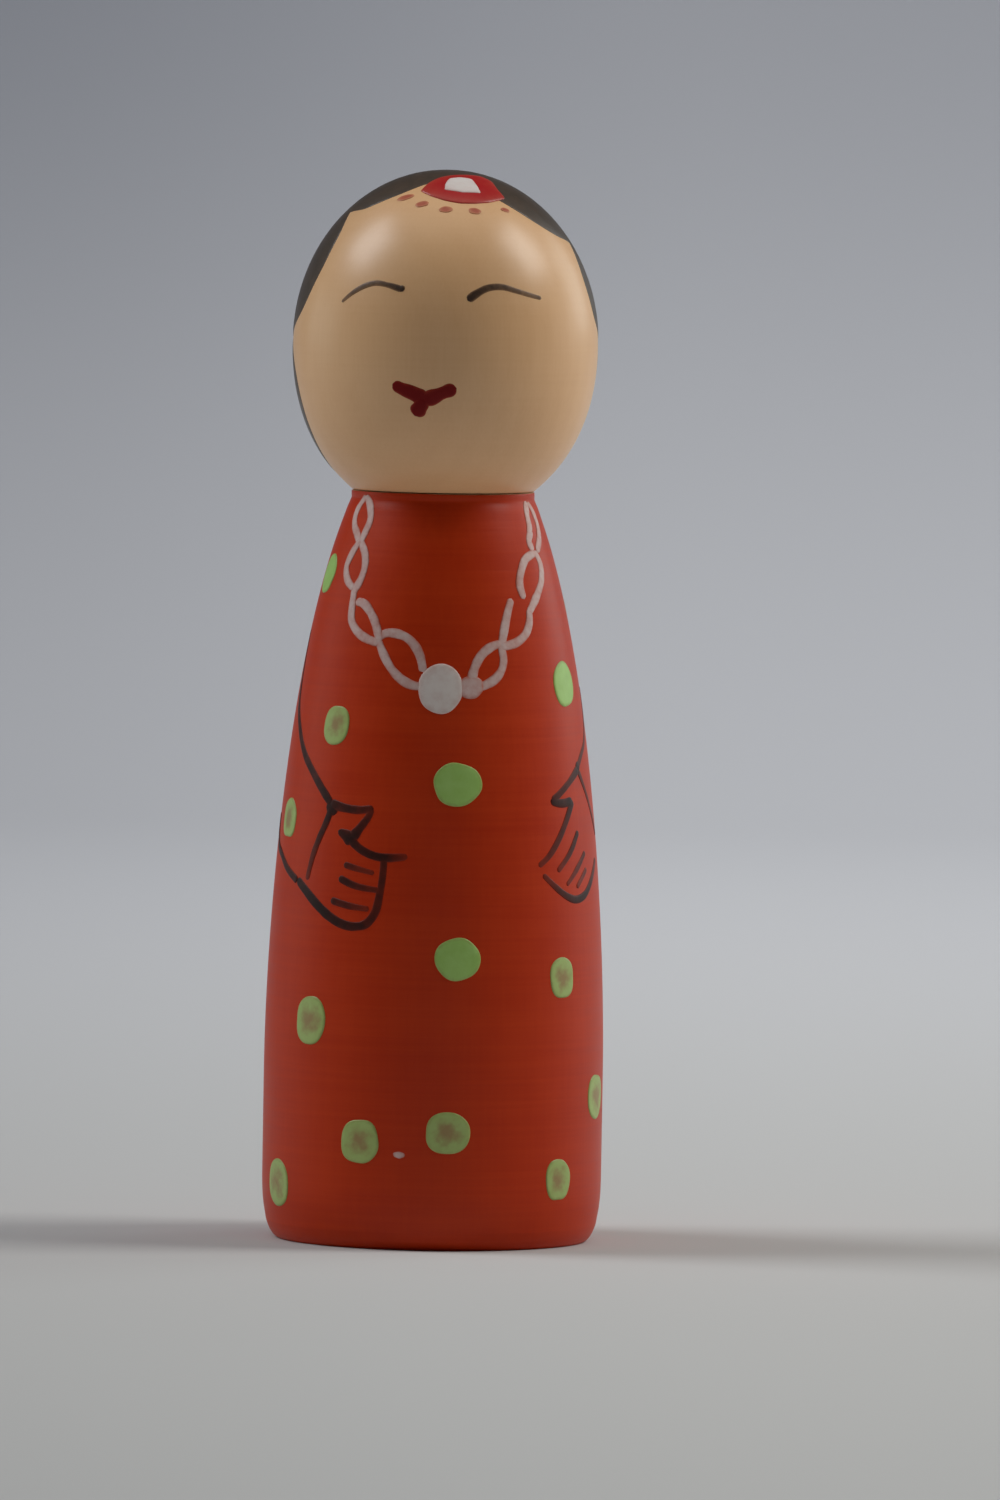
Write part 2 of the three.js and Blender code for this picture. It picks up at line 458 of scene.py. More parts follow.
class Finish:
    """A material, with places on the piece in mm and the angle round the doll ready to use."""

    def __init__(self, name, roughness=0.5, coat=0.0, coat_roughness=0.2, gloss=0.5):
        self.material = bpy.data.materials.new(name)
        self.material.use_nodes = True
        self.tree = self.material.node_tree
        self.tree.nodes.clear()
        self.shader = self.tree.nodes.new("ShaderNodeBsdfPrincipled")
        output = self.tree.nodes.new("ShaderNodeOutputMaterial")
        self.tree.links.new(self.shader.outputs[0], output.inputs[0])
        for socket, value in (
            ("Roughness", roughness),
            ("Coat Weight", coat),
            ("Coat Roughness", coat_roughness),
            ("Specular IOR Level", gloss),
        ):
            self.shader.inputs[socket].default_value = value
        coordinates = self.node("TexCoord", output="Object")
        self.place = self.node("VectorMath", {"operation": "SCALE"}, {0: coordinates, "Scale": 1 / MM})
        self.across, self.depth, self.height = (
            self.node("SeparateXYZ", {}, {0: self.place}, output=i) for i in range(3)
        )
        self.angle = self.node("Math", {"operation": "ARCTAN2"}, {0: self.across, 1: -1 * self.depth})
        self.rim = self.node("Attribute", {"attribute_name": "rim"}, output="Fac")
        self.load = self.node("Attribute", {"attribute_name": "load"}, output="Fac")

    def node(self, kind, settings=None, values=None, output=0):
        """Adds a node, makes its settings and then fills or links its inputs."""
        made = self.tree.nodes.new("ShaderNode" + kind)
        for setting, value in (settings or {}).items():
            setattr(made, setting, value)
        for socket, value in (values or {}).items():
            self.fill(made.inputs[socket], value)
        return Value(self, made.outputs[output])

    def fill(self, socket, value):
        if isinstance(value, Value):
            self.tree.links.new(value.socket, socket)
        else:
            socket.default_value = value

    def stretched(self, x, y, z):
        """The place with each direction shrunk or stretched."""
        return self.node("VectorMath", {"operation": "MULTIPLY"}, {0: self.place, 1: (x, y, z)})

    def wrapped(self, round_scale, up_scale):
        """The place rolled off the doll: the angle round it goes round a circle, the height goes up."""
        x = self.node("Math", {"operation": "COSINE"}, {0: self.angle}) * round_scale
        y = self.node("Math", {"operation": "SINE"}, {0: self.angle}) * round_scale
        return self.node("CombineXYZ", {}, {0: x, 1: y, 2: self.height * up_scale})

    def noise(self, scale, place=None, detail=3.0, rough=0.5):
        values = {"Vector": place or self.place, "Scale": scale, "Detail": detail, "Roughness": rough}
        return self.node("TexNoise", {"noise_dimensions": "3D"}, values)

    def mix(self, share, one, other):
        """One colour at share 0, the other at share 1."""
        values = {0: share, 6: one, 7: other}
        return self.node("Mix", {"data_type": "RGBA"}, values, output=2)

    def done(self, base, roughness=None, relief=None, relief_mm=0.02):
        """Sets what varies: the colour, the roughness and the fine relief, and gives the material."""
        self.fill(self.shader.inputs["Base Color"], base)
        if roughness is not None:
            self.fill(self.shader.inputs["Roughness"], roughness)
        if relief is not None:
            values = {"Height": relief, "Distance": relief_mm * MM, "Strength": 1.0}
            self.fill(self.shader.inputs["Normal"], self.node("Bump", {}, values))
        return self.material


def dress_finish():
    """Vermilion, brushed on while the doll turned: fine rings, and bands where the coat is thinner."""
    f = Finish("dress_vermilion", roughness=0.42, coat=0.03, coat_roughness=0.3, gloss=0.2)
    fine_rings = f.noise(1.0, f.wrapped(0.8, 3.2), detail=4)
    broad_rings = f.noise(1.0, f.wrapped(0.5, 0.45), detail=2)
    patches = f.noise(0.16, detail=2)
    fibres = f.noise(1.0, f.stretched(2.4, 2.4, 0.12), detail=3)
    thin = (fine_rings - 0.5) * 0.8 + (broad_rings - 0.5) * 0.7 + (patches - 0.5) * 0.7 + (fibres - 0.5) * 0.4
    base = f.mix((thin + 0.5).ramp(0.0, 1.0), colour(194, 49, 5), colour(207, 60, 11))
    roughness = 0.42 + (patches - 0.5) * 0.12 + (fine_rings - 0.5) * 0.1
    return f.done(base, roughness, fine_rings * 0.75 + fibres * 0.25, 0.02)


def wood_finish(name, pale, dark, figure, roughness, coat, relief_mm, turned):
    """Turned hardwood with upright grain: year rings round a heart beside the doll, wavy with height, and
    fine pores drawn out upright, crossed by the fine rings that the turning left. figure says how strongly
    the year rings show, turned how much of the relief is turning marks."""
    f = Finish(name, roughness=roughness, coat=coat, coat_roughness=0.27)
    wander = f.noise(0.05, f.stretched(1, 1, 0.35), detail=2) * 5
    off_heart = f.node("VectorMath", {"operation": "MULTIPLY"}, {0: f.place, 1: (1, 1, 0)})
    off_heart = f.node("VectorMath", {"operation": "ADD"}, {0: off_heart, 1: (19, 34, 0)})
    from_heart = f.node("VectorMath", {"operation": "LENGTH"}, {0: off_heart}, output="Value")
    years = f.node("Math", {"operation": "SINE"}, {0: (from_heart + wander) * 3.1})
    pores = f.noise(1.0, f.stretched(5, 5, 0.22), detail=3, rough=0.6)
    mottle = f.noise(0.12, f.stretched(1, 1, 0.5), detail=3)
    marks = f.noise(1.0, f.wrapped(0.7, 3.4), detail=4)
    dark_share = 0.45 + years * figure + (pores - 0.5) * 0.6 + (mottle - 0.5) * 0.8
    dark_share = dark_share + (marks - 0.5) * 0.6 * turned
    base = f.mix(dark_share.ramp(0.0, 1.0), pale, dark)
    return f.done(base, roughness + (mottle - 0.5) * 0.1, pores * (1 - turned) + marks * turned, relief_mm)


def paint_finish(name, full, thin, cover=0.9, streak=0.3, rim_fade=0.25, roughness=0.4, gloss=0.5, grit=1.4):
    """Brushed-on paint: full where it is thick, towards thin where the brush ran dry and at its edge."""
    f = Finish(name, roughness=roughness, gloss=gloss)
    streaks = f.noise(grit, detail=4, rough=0.6)
    clouds = f.noise(0.35 * grit, detail=2)
    share = f.load * cover + (streaks - 0.5) * 2 * streak + (clouds - 0.5) * streak - f.rim**4 * rim_fade
    base = f.mix(share.ramp(0.0, 1.0), thin, full)
    return f.done(base, roughness + (clouds - 0.5) * 0.15, streaks, 0.012)


def spot_finish():
    """Green dabs: in the middle of most, where the brush stood, the paint is thin and shows the red."""
    f = Finish("spot_green", roughness=0.45)
    speckle = f.noise(2.2, detail=4)
    clouds = f.noise(0.9, detail=2)
    bare = (f.rim + (clouds - 0.5) * 0.9 + (speckle - 0.5) * 0.5).ramp(0.1, 0.8, 1, 0) * f.load
    edge = (f.rim + (speckle - 0.5) * 0.25).ramp(0.84, 1.0)
    base = f.mix((clouds - 0.3) * 1.2, colour(164, 208, 104), colour(184, 226, 134))
    base = f.mix(f.load * 0.4, base, colour(186, 176, 124))
    base = f.mix(bare * 0.8, base, colour(164, 122, 82))
    base = f.mix(edge * 0.45, base, colour(150, 150, 78))
    return f.done(base, 0.42 + (clouds - 0.5) * 0.2, speckle, 0.014)


DRESS = dress_finish()
SKIN_WOOD = wood_finish(
    "skin_wood", colour(248, 198, 146), colour(241, 188, 135), 0.05, 0.42, 0.32, 0.006, 0.7
)
BARE_WOOD = wood_finish(
    "bare_wood", colour(226, 196, 152), colour(186, 144, 98), 0.16, 0.62, 0.0, 0.02, 0.3
)
HAIR = paint_finish("hair_black", colour(66, 58, 52), colour(98, 80, 66), 0.8, 0.35, 0.3, 0.38)
LINE = paint_finish("marker_line", colour(40, 15, 9), colour(140, 42, 18), 0.85, 0.25, 0.35, 0.45, 0.25)
EYE_LINE = paint_finish("eye_line", colour(52, 36, 27), colour(150, 112, 78), 0.8, 0.4, 0.8, 0.4)
GREEN = spot_finish()
CHAIN = paint_finish(
    "chain_white", colour(228, 204, 199), colour(194, 96, 72), 0.72, 0.35, 0.45, 0.5, 0.4, 2.0
)
PENDANT = paint_finish(
    "pendant_white", colour(240, 229, 223), colour(204, 160, 150), 0.85, 0.5, 0.4, 0.5, 0.3, 0.9
)
RED = paint_finish("ornament_red", colour(184, 28, 32), colour(200, 74, 58), 0.85, 0.3, 0.5, 0.36)
PINK = paint_finish("forehead_dots", colour(178, 70, 52), colour(214, 138, 100), 0.6, 0.4, 0.8, 0.4)
LIPS = paint_finish("lips_red", colour(124, 8, 9), colour(166, 62, 44), 0.95, 0.25, 0.8, 0.45, 0.15)
WHITE = paint_finish("ornament_white", colour(240, 232, 228), colour(222, 170, 160), 0.85, 0.3, 0.3, 0.4)

# ---- Turned pieces ----
SIDES = 240                 # round the doll
ROWS = 320                  # from the axis under the foot to the neck, and from the chin to the crown
FOOT_COAT_RADIUS = 11.8     # mm; the dress paint stops here under the foot,
FOOT_EDGE_WAVER = 0.25      # mm, as unevenly as this
COAT_LIP = 0.03             # mm that it stops short of the bore at the neck,
LIP_WAVER = 0.01            # mm, as unevenly as this
COAT_ROUNDING = 0.2         # mm over which its first edge rounds up to full thickness
COAT_SUNK = 0.02            # mm that its underside lies in the wood

socket_line = body_bore[np.lexsort((-body_bore[:, 0], -body_bore[:, 1]))]
body_rows = np.c_[tuple(at_lengths(body_line, divided(body_line, ROWS)))][:, :2]
turned_body = piece(
    "turned_body",
    [turned_solid(np.r_[body_rows, socket_line], SIDES)],
    BARE_WOOD,
    "body",
)
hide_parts("body")

head_socket = head_bore[np.lexsort((head_bore[:, 0], -head_bore[:, 1]))]
head_rows = np.c_[tuple(at_lengths(head_line, divided(head_line, ROWS)))][:, :2]
turned_head = piece(
    "turned_head",
    [turned_solid(np.r_[head_socket, head_rows], SIDES)],
    SKIN_WOOD,
    "head",
)
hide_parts("head")
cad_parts["neck_peg"].data.materials.clear()
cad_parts["neck_peg"].data.materials.append(BARE_WOOD)


def dress_coat():
    """The coat on the body: its outline lifted by the coat's thickness, from an uneven edge under the foot to
    the lip of the neck, and back along the outline sunk a little below the wood."""
    angle = np.linspace(0, 2 * math.pi, SIDES, endpoint=False)
    along = divided(body_line, ROWS)
    span = along[-1] - FOOT_COAT_RADIUS
    past_edge = along[along > FOOT_COAT_RADIUS + 0.4] - FOOT_COAT_RADIUS
    share = np.r_[0, 0.03, 0.08, 0.15, 0.25, past_edge][:, None] / span
    start = FOOT_COAT_RADIUS + waver_round(angle, FOOT_EDGE_WAVER, 9)
    upper = start + share * (along[-1] - COAT_LIP + waver_round(angle, LIP_WAVER, 9) - start)
    risen = np.clip((upper - start) / COAT_ROUNDING, 0, 1)
    lift = DRESS_COAT * np.sqrt(np.clip(1 - (1 - risen) ** 2, 0, 1))
    lower = upper[::-4]
    radius, height, out, up = at_lengths(body_line, np.r_[upper, lower])
    proud = np.r_[lift, np.full(lower.shape, -COAT_SUNK)]
    far = radius + proud * out
    rows = np.stack([far * np.sin(angle), -far * np.cos(angle), height + proud * up], -1) * MM
    return shell(rows, rim_and_load(0, 1, rows.shape[:2]), poles=False)


piece("dress_coat", [dress_coat()], DRESS, "body")

# ---- Hair and forehead ornament ----
# The hairline in parts that meet at points, from the middle of the forehead round the doll's right cheek,
# then the same on its left.
RIGHT_HAIRLINE = (
    [(8, 89.75), (-8, 89.65), (-22.0, 89.3), (-38.8, 88.4), (-57.5, 87.2), (-73.8, 86.8)],
    [(-73.8, 86.8), (-64.9, 85.2), (-63.4, 83.5), (-64.7, 81.8), (-72.5, 78.7), (-92, 76.1)],
    [(-92, 76.1), (-85.5, 74.7), (-80.5, 73.0), (-78.5, 70.5), (-80, 67.5), (-86, 65.4), (-104, 64.15)],
)
LEFT_HAIRLINE = (
    [(8, 89.75), (22, 89.4), (36.0, 88.2), (52.8, 86.4), (66.6, 85.2), (82.3, 84.5)],
    [(82.3, 84.5), (77.4, 82.9), (75.7, 81.5), (76.7, 79.8), (80.1, 78.1), (93, 76.3)],
    [(93, 76.3), (91.5, 74.6), (92.5, 71.7), (93.5, 68), (94.5, 65.2), (108, 64.15)],
)
NAPE = [(108, 64.15), (140, 64.05), (180, 64.1), (220, 64.05), (256, 64.15)]
HAIR_STEP = 0.2             # mm between points of the hairline
HAIR_THICK = 0.06           # mm
HAIR_ROUNDING = 0.05        # of the way out from the back, over which the film rounds off to the hairline


def hair_cap():
    """The painted hair: great circles from the back of the head out to the hairline, all round."""
    right, left, (nape,) = (
        [along_brush(head_skin.marked(*np.array(part, float).T), HAIR_STEP * MM)[0] for part in parts]
        for parts in (RIGHT_HAIRLINE, LEFT_HAIRLINE, [NAPE])
    )
    from_right = [part[::-1][:-1] for part in right[::-1]]
    loop = np.concatenate([part[:-1] for part in left] + [nape[:-1]] + from_right)
    middle = np.array((0, 0, head_middle)) * MM
    edge = loop - middle
    edge /= np.linalg.norm(edge, axis=1)[:, None]
    back = np.array((0, 1.0, 0))
    spread = np.arccos(np.clip(edge @ back, -1, 1))[None, :, None]
    outward = np.r_[np.linspace(0.02, 0.95, 52), 0.965, 0.98, 0.99, 0.995, 1.0]
    share = np.r_[outward, 1.0, outward[::-4]][:, None, None]
    arc = (np.sin((1 - share) * spread) * back + np.sin(share * spread) * edge) / np.sin(spread)
    proud = np.full(len(share), -BURIED)
    rounding = np.clip(outward - (1 - HAIR_ROUNDING), 0, 1) / HAIR_ROUNDING
    proud[: len(outward)] = HAIR_THICK * np.sqrt(np.clip(1 - rounding, 0, 1))
    rows = head_skin.settle(middle + arc * 10 * MM, proud[:, None])
    return shell(rows, rim_and_load(share[..., 0], 1, rows.shape[:2]))


piece("hair_cap", [hair_cap()], HAIR, "head")


def patch_between(skin, corners, smooth=0.013):
    """The middle and the edge, in mm across and up, of a patch whose corners are marks on the wood."""
    corners = np.array(corners, float)
    places = skin.marked(*corners.T)
    middle = skin.settle(places.mean(0), 0)
    facing = skin.facing(middle[None])[0]
    across = np.cross((0, 0, 1), facing)
    across /= np.linalg.norm(across)
    away = (places - middle) / MM
    return middle, closed_line(np.c_[away @ across, away @ np.cross(facing, across)], smooth)


CRESCENT = [(-24.5, 88.7), (-21.5, 89.43), (-13.6, 89.85), (2.1, 90.05), (33.8, 90.1), (58, 90.0), (58, 89.6)]
CRESCENT += [(47, 88.9), (45.5, 88.1), (28.8, 87.85), (17.7, 87.75), (7.7, 87.75), (-2.1, 87.95), (-13, 88.3)]
HALF_ROUND = [(-3.5, 88.8), (-3.5, 89.3), (0.5, 89.75), (15, 89.85)]
HALF_ROUND += [(29, 89.72), (27.5, 89.2), (26, 88.55), (11, 88.6)]
piece("crescent", [blob(head_skin, *patch_between(head_skin, CRESCENT), thick=0.1)], RED, "head")
piece(
    "crescent_light",
    [blob(head_skin, *patch_between(head_skin, HALF_ROUND), thick=0.16)],
    WHITE,
    "head",
)
# Each: its place, its width and height in mm and its tilt in degrees.
FOREHEAD_DOTS = [
    ((-31.1, 88.2), 1.5, 0.75, 30),
    ((-16.7, 87.7), 1.15, 0.75, 14),
    ((-1.2, 87.3), 1.15, 0.75, 8),
    ((16.1, 87.2), 1.1, 0.75, -6),
    ((36.7, 87.3), 0.85, 0.5, -20),
]
piece(
    "forehead_dots",
    [
        blob(head_skin, head_skin.marked(*at), oval(wide, high, 0.06, tilt), 0.05)
        for at, wide, high, tilt in FOREHEAD_DOTS
    ],
    PINK,
    "head",
)

# ---- Face ----
RIGHT_EYE = [(-44.7, 79.4), (-40.0, 80.19), (-34.8, 80.8), (-29.4, 81.09), (-23.9, 80.95), (-17.6, 80.6)]
LEFT_EYE = [(8.2, 79.8), (11.6, 80.34), (16.6, 80.85), (22.5, 80.95)]
LEFT_EYE += [(28.9, 80.62), (34.7, 80.29), (40.2, 80.0)]
piece(
    "eyes",
    [
        stroke(head_skin, RIGHT_EYE, (0.3, 0.45, 0.5, 0.46, 0.6), 0.05, loads=(0.35, 0.7, 0.6, 0.8, 1)),
        stroke(head_skin, [(-18.9, 80.9), (-17.3, 80.45)], (0.75, 0.7), 0.06),
        stroke(head_skin, LEFT_EYE, (0.72, 0.66, 0.55, 0.45, 0.38), 0.05, loads=(1, 1, 0.8, 0.6, 0.5)),
    ],
    EYE_LINE,
    "head",
)
# Each stroke of the mouth: its marks, its widths and its thickness in mm.
MOUTH = [
    ([(-20.3, 72.7), (-16.5, 72.3), (-12.2, 71.95), (-7.0, 71.4)], (1.0, 1.15, 1.3, 1.6), 0.07),
    ([(4.4, 72.45), (0.1, 72.1), (-3.4, 71.76), (-8.6, 71.3)], (1.25, 1.15, 1.35, 1.6), 0.085),
    ([(-7.8, 71.5), (-9.6, 70.8), (-11.9, 70.05)], (1.5, 1.35, 1.6), 0.1),
]
piece("mouth", [stroke(head_skin, *line) for line in MOUTH], LIPS, "head")

# ---- Chain and pendant ----
CHAIN_STROKES = [
    [(-56.9, 63.0), (-61.1, 62.18), (-62.4, 61.25), (-59.7, 60.42), (-53.7, 59.62), (-49.1, 58.7)],
    [(-56.9, 63.0), (-49.7, 62.01), (-46.6, 61.0), (-47.6, 60.08), (-50.0, 58.9)],
    [(-49.5, 59.4), (-54.5, 58.02), (-56.1, 56.92), (-52.9, 55.93), (-47.0, 55.2)],
    [(-49.9, 59.23), (-43.9, 58.09), (-42.3, 57.01), (-43.4, 56.0), (-46.1, 54.98), (-45.5, 54.15)],
    [(-46.2, 55.2), (-45.6, 53.7), (-44.5, 52.6), (-39.8, 51.67), (-34.3, 51.13), (-27.5, 50.8)],
    [(-43.9, 54.15), (-39.0, 54.05), (-35.0, 53.5), (-31.2, 52.6), (-29.2, 51.8), (-27.4, 50.9)],
    [(-29.5, 51.0), (-25.5, 51.61), (-20.7, 51.68), (-15.0, 51.34)]
    + [(-11.2, 50.69), (-8.6, 49.8), (-7.0, 48.5)],
    [(-28.5, 51.1), (-24.9, 49.86), (-21.2, 48.8), (-16.8, 47.95), (-12.0, 47.44), (-7, 47.29)],
    [(27.8, 51.0), (22.0, 50.61), (17.7, 49.94), (15.1, 49.11), (13.3, 48.0), (12.6, 47.1)],
    [(35.0, 54.67), (32.3, 53.59), (29.5, 52.1), (27.6, 50.6), (28.0, 49.6)]
    + [(26.6, 48.69), (23.2, 47.94), (18, 47.4), (14.2, 47.2)],
    [(44.9, 53.8), (44.1, 52.73), (41.0, 51.74), (35.7, 51.05), (30.4, 50.76), (26.4, 50.7)],
    [(57.4, 58.43), (48.3, 57.88), (43.2, 56.81), (41.3, 55.9), (41.8, 55.15), (42.9, 54.6)],
    [(57.6, 58.6), (60.6, 57.41), (58.4, 56.17), (53.8, 55.19), (48.5, 54.21), (44.2, 53.4)],
    [(64.5, 62.7), (60.4, 61.7), (58.9, 60.51), (56.0, 59.9)],
    [(66.0, 62.6), (69.6, 61.63), (70.1, 60.63), (67.0, 59.64), (60.0, 58.45)],
    [(60.0, 60.3), (54.8, 59.4), (56.2, 58.5)],
]
CHAIN_LIFTS = (0.05, 0.06, 0.07, 0.055, 0.065, 0.075)     # mm; strokes that cross lie on one another
CHAIN_WIDTHS = (0.68, 0.84, 0.76, 0.86, 0.7)               # mm
CHAIN_LOADS = (0.85, 1, 0.85, 1)
chain = [
    stroke(body_skin, marks, CHAIN_WIDTHS, CHAIN_LIFTS[i % len(CHAIN_LIFTS)], loads=CHAIN_LOADS)
    for i, marks in enumerate(CHAIN_STROKES)
]
side_bead = blob(body_skin, body_skin.marked(12.8, 47.3), oval(2.3, 1.9, 0.08), 0.075, 0)
piece("chain", chain + [side_bead], CHAIN, "body")
pendant = blob(body_skin, body_skin.marked(0.3, 47.16), oval(3.95, 4.1, 0.035), 0.11, 0)
piece("pendant", [pendant], PENDANT, "body")

# ---- Spots ----
# Each: degrees, height, width and height of the dab, tilt, and whether its middle is thin.
SPOTS = [
    (-74.5, 56.3, 3.0, 3.4, 0, False),
    (-44.9, 43.8, 2.9, 3.3, 0, True),
    (7.3, 39.2, 4.15, 3.7, 0, False),
    (-70.3, 35.7, 2.9, 3.3, 0, True),
    (63.5, 47.4, 3.6, 3.9, -18, False),
    (7.7, 24.6, 3.95, 3.6, 0, False),
    (49.2, 22.9, 2.9, 3.5, 0, True),
    (-46.9, 19.0, 3.6, 3.9, 0, True),
    (72.8, 12.6, 3.7, 3.7, 0, True),
    (-25.2, 9.1, 3.45, 3.7, 0, True),
    (5.2, 10.0, 3.75, 3.5, 0, True),
    (-64.6, 5.0, 3.6, 4.0, 0, True),
    (48.0, 5.9, 2.9, 3.6, 0, True),
    (112, 34.5, 3.6, 3.8, 0, True),
    (104, 53.5, 3.1, 3.4, 0, True),
    (134, 20.0, 3.7, 3.6, 0, False),
    (112, 6.8, 3.5, 3.8, 0, True),
    (152, 44.0, 3.5, 3.7, 0, True),
    (168, 30.5, 3.8, 3.6, 0, True),
    (172, 10.5, 3.6, 3.8, 0, False),
    (-164, 54.0, 3.2, 3.5, 0, True),
    (-158, 20.5, 3.7, 3.7, 0, True),
    (-141, 38.5, 3.6, 3.8, 0, False),
    (-132, 8.0, 3.6, 3.7, 0, True),
    (-113, 26.0, 3.5, 3.8, 0, True),
    (-112, 48.0, 3.3, 3.6, 0, True),
]
SPOT_THICK = 0.08           # mm
spots = []
for degrees, height, wide, high, tilt, thin_middle in SPOTS:
    edge = oval(wide, high, 0.05, tilt, 2.4 if thin_middle else 2.0)
    points, values, quads, ends = blob(body_skin, body_skin.marked(degrees, height), edge, SPOT_THICK)
    spots.append((points, values * (1, 1 if thin_middle else 0), quads, ends))
piece("spots", spots, GREEN, "body")
fleck = blob(body_skin, body_skin.marked(-11.1, 8.1), oval(0.95, 0.6, 0.15), 0.04)
piece("stray_fleck", [fleck], CHAIN, "body")

# ---- Sleeves and hands ----
# Each line: its marks, its widths in mm and its loads of ink, which pools where the pen slows down or turns.
RIGHT_HAND = [
    (
        [(-86, 51.5), (-83, 48.3), (-79, 45.4), (-71.4, 43.2), (-63.9, 41.35), (-54.3, 39.53), (-43.0, 37.2)],
        (0.45, 0.65, 0.7, 0.75, 0.8),
        (0.7, 0.9, 0.9, 1),
    ),
    ([(-44.0, 37.5), (-42.6, 36.9), (-39.5, 36.95)], (0.9, 1.45, 1.0), (1, 1.1)),
    ([(-43.6, 37.25), (-36.6, 36.96), (-30.8, 36.85), (-24.2, 37.0)], (0.95, 0.75, 0.7, 0.6), (1, 0.8, 0.7)),
    ([(-24.8, 37.05), (-26.4, 36.22), (-28.7, 35.53), (-32.4, 34.45)], (0.6, 0.65, 0.8, 1.15), (0.6, 0.8, 1)),
    ([(-38.8, 35.0), (-35.3, 34.7), (-31.6, 34.2)], (0.5, 1.0, 1.5), (0.8, 1.1)),
    (
        [(-34.5, 34.7), (-33.0, 34.4), (-29.8, 33.76), (-26.0, 33.3)]
        + [(-21.6, 33.01), (-17.0, 32.96), (-10.5, 33.1)],
        (0.9, 0.75, 0.7, 0.8, 0.5),
        (1, 0.9, 1, 0.2),
    ),
    (
        [(-42.7, 37.0), (-44.8, 35.69), (-47.8, 34.31), (-50.3, 32.93), (-52.9, 30.7)],
        (0.7, 0.68, 0.55),
        (1, 0.75, 0.4),
    ),
    (
        [(-87, 36.0), (-84.5, 34.2), (-81.0, 33.25), (-74.6, 32.51), (-67.6, 31.51), (-58.8, 30.55)],
        (0.6, 0.65, 0.7),
        (0.8, 1, 0.9),
    ),
    (
        [(-58.8, 30.7), (-53.3, 29.86), (-47.2, 28.86), (-41.0, 27.93), (-35.5, 27.33), (-30.0, 27.1)]
        + [(-25.0, 27.36), (-21.8, 28.32), (-20.2, 30.0), (-19.4, 31.52), (-19.2, 33.0)],
        (0.8, 0.9, 0.8, 0.7, 0.65),
        (1, 1.1, 0.9, 0.7, 0.8),
    ),
    ([(-35.2, 32.25), (-29.2, 31.93), (-22.6, 31.62)], (0.6, 0.5, 0.4), (0.8, 0.4, 0.2)),
    ([(-37.0, 31.1), (-29.7, 30.5), (-20.8, 30.2)], (0.65, 0.55, 0.5), (1, 0.7, 0.6)),
    ([(-40.0, 29.2), (-31.7, 28.8), (-24.0, 28.6)], (0.65, 0.6, 0.45), (0.95, 0.7, 0.2)),
]
LEFT_HAND = [
    ([(91, 47.0), (86, 44.6), (78.7, 42.42), (71.8, 41.32), (67.0, 40.4)], (0.45, 0.5, 0.6), (0.5, 0.7)),
    ([(67.6, 40.9), (66.6, 40.1)], (0.6, 0.95), (1, 1.1)),
    ([(67.0, 40.3), (59.3, 39.25), (52.7, 38.38), (47.4, 37.7)], (0.8, 0.65, 0.7), (1, 0.75, 0.9)),
    ([(46.6, 37.75), (52.2, 37.5), (60.0, 37.62)], (0.7, 0.8, 0.8), (0.9, 1.1)),
    (
        [(60.2, 37.7), (55.3, 36.09), (50.4, 34.62), (44.5, 33.16), (39.2, 32.3)],
        (0.8, 0.65, 0.65, 0.5),
        (1, 0.7, 0.7, 0.3),
    ),
    ([(67.2, 40.1), (70.9, 38.97), (75.6, 37.57), (81, 35.9), (86, 34.5)], (0.6, 0.5, 0.5), (0.8, 0.5)),
    (
        [(41.0, 31.6), (47.5, 30.45), (52.8, 29.74), (58.4, 29.38), (65.3, 29.69), (72.5, 30.87), (80, 32.6)],
        (0.5, 0.65, 0.75, 0.7, 0.55),
        (0.4, 0.8, 1.05, 0.9, 0.7),
    ),
    ([(62.8, 35.1), (56.6, 33.4), (48.4, 31.8)], (0.55, 0.6, 0.45), (0.9, 0.8, 0.3)),
    ([(67.6, 33.3), (60.9, 32.01), (53.2, 30.6)], (0.5, 0.55, 0.4), (0.8, 0.6, 0.2)),
    ([(68.0, 31.9), (59.5, 30.35)], (0.5, 0.45), (0.6, 0.3)),
]
LINE_LIFTS = (0.05, 0.056, 0.062, 0.068)    # mm; lines that meet lie on one another
for name, lines in (("right_sleeve_and_hand", RIGHT_HAND), ("left_sleeve_and_hand", LEFT_HAND)):
    strokes = [
        stroke(body_skin, marks, widths, LINE_LIFTS[i % len(LINE_LIFTS)], loads=loads)
        for i, (marks, widths, loads) in enumerate(lines)
    ]
    piece(name, strokes, LINE, "body")

# ---- Stage, lights and camera ----


# How the sheet rises: m that it lies flat, radius of the bend in m, steepest slope in degrees, m on.
BEHIND = (0.6, 0.5, 40, 3.0)
ASIDE_AND_BEFORE = (2.1, 0.8, 70, 2.0)


def rising(flat, radius, steepest, slope):
    """A line that lies flat, curves up along an arc until it is this many degrees steep and goes on as a
    straight slope, all in m: how far out and how high."""
    turn = np.linspace(0, math.radians(steepest), 30)
    out, up = flat + radius * np.sin(turn), radius * (1 - np.cos(turn))
    on = np.linspace(0, slope, 12)[1:]
    return np.r_[0, out, out[-1] + on * math.cos(turn[-1])], np.r_[0, up, up[-1] + on * math.sin(turn[-1])]


